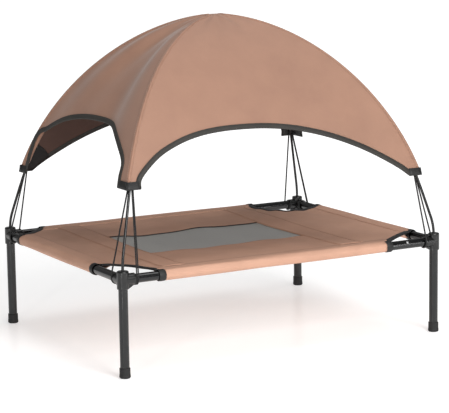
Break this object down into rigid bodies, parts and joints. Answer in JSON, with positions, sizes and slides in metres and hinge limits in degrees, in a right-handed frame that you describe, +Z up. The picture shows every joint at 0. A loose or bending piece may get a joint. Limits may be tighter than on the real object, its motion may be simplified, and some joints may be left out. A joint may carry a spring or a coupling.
{
  "type": "raised pet cot with canopy",
  "caption": "Raised dog cot: fabric deck with a mesh window on a tube frame with legs, shaded by a lift-off four-sided dome canopy on crossed poles.",
  "frame": {"origin": "on the floor under the middle of the cot", "axes": "+X along the long side, +Z up; the front long side faces -Y"},
  "size_m": [0.8124, 0.6284, 0.7265],
  "materials": {
    "coated_tube": "glossy black powder coat",
    "connector_plastic": "moulded black plastic, slightly shiny",
    "foot_rubber": "black rubber",
    "button_steel": "zinc plated",
    "stub_steel": "plain steel tube",
    "deck_cloth": "coated oxford polyester, tan",
    "deck_net": "open grey polyester mesh",
    "canopy_cloth": "coated oxford polyester, tan",
    "binding_tape": "woven black-brown binding tape",
    "pole_fibreglass": "black fibreglass rod",
    "ferrule_steel": "plain steel ferrule",
    "elastic_cord": "braided black elastic cord"
  },
  "bodies": {
    "frame": {"corner_connector_front_left": "connector_plastic", "leg_front_left": "coated_tube", "foot_cap_front_left": "foot_rubber", "corner_connector_front_right": "connector_plastic", "leg_front_right": "coated_tube", "foot_cap_front_right": "foot_rubber", "corner_connector_back_right": "connector_plastic", "leg_back_right": "coated_tube", "foot_cap_back_right": "foot_rubber", "corner_connector_back_left": "connector_plastic", "leg_back_left": "coated_tube", "foot_cap_back_left": "foot_rubber", "rail_front": "coated_tube", "rail_back": "coated_tube", "rail_left": "coated_tube", "rail_right": "coated_tube", "rail_stubs": "stub_steel", "button_springs": "button_steel", "deck_panel_left": "deck_cloth", "deck_panel_right": "deck_cloth", "deck_strip_front": "deck_cloth", "deck_strip_back": "deck_cloth", "deck_mesh": "deck_net", "rail_sleeve_front": "deck_cloth", "rail_sleeve_back": "deck_cloth", "rail_sleeve_left": "deck_cloth", "rail_sleeve_right": "deck_cloth", "corner_binding_front_left": "binding_tape", "corner_binding_front_right": "binding_tape", "corner_binding_back_right": "binding_tape", "corner_binding_back_left": "binding_tape", "elastic_cords_front_left": "elastic_cord", "elastic_cords_front_right": "elastic_cord", "elastic_cords_back_right": "elastic_cord", "elastic_cords_back_left": "elastic_cord"},
    "canopy": {"canopy_panel_front": "canopy_cloth", "canopy_hem_front": "binding_tape", "canopy_panel_back": "canopy_cloth", "canopy_hem_back": "binding_tape", "canopy_panel_left": "canopy_cloth", "canopy_hem_left": "binding_tape", "canopy_panel_right": "canopy_cloth", "canopy_hem_right": "binding_tape", "canopy_tip_front_left": "binding_tape", "pole_channel_front_left": "canopy_cloth", "pole_lower_front_left": "pole_fibreglass", "canopy_tip_front_right": "binding_tape", "pole_channel_front_right": "canopy_cloth", "pole_lower_front_right": "pole_fibreglass", "canopy_tip_back_right": "binding_tape", "pole_channel_back_right": "canopy_cloth", "pole_lower_back_right": "pole_fibreglass", "canopy_tip_back_left": "binding_tape", "pole_channel_back_left": "canopy_cloth", "pole_lower_back_left": "pole_fibreglass", "pole_crown_over": "pole_fibreglass", "pole_crown_under": "pole_fibreglass", "pole_ferrules": "ferrule_steel"},
    "snap_button_front": {"snap_button_front": "button_steel"},
    "snap_button_back": {"snap_button_back": "button_steel"}
  },
  "joints": [
    {"name": "canopy_lift", "type": "slide", "parent": "frame", "child": "canopy", "axis": [0, 0, 1], "range_m": [0, 0.06], "stiffness_N_per_m": 300, "springref_m": -0.02, "deforming": ["elastic_cords_front_left", "elastic_cords_front_right", "elastic_cords_back_right", "elastic_cords_back_left"]},
    {"name": "press_snap_button_front", "type": "slide", "parent": "frame", "child": "snap_button_front", "axis": [0, 0.8192, -0.5736], "range_m": [0, 0.003], "stiffness_N_per_m": 800, "springref_m": -0.002, "deforming": ["button_springs"]},
    {"name": "press_snap_button_back", "type": "slide", "parent": "frame", "child": "snap_button_back", "axis": [0, -0.8192, -0.5736], "range_m": [0, 0.003], "stiffness_N_per_m": 800, "springref_m": -0.002, "deforming": ["button_springs"]}
  ]
}
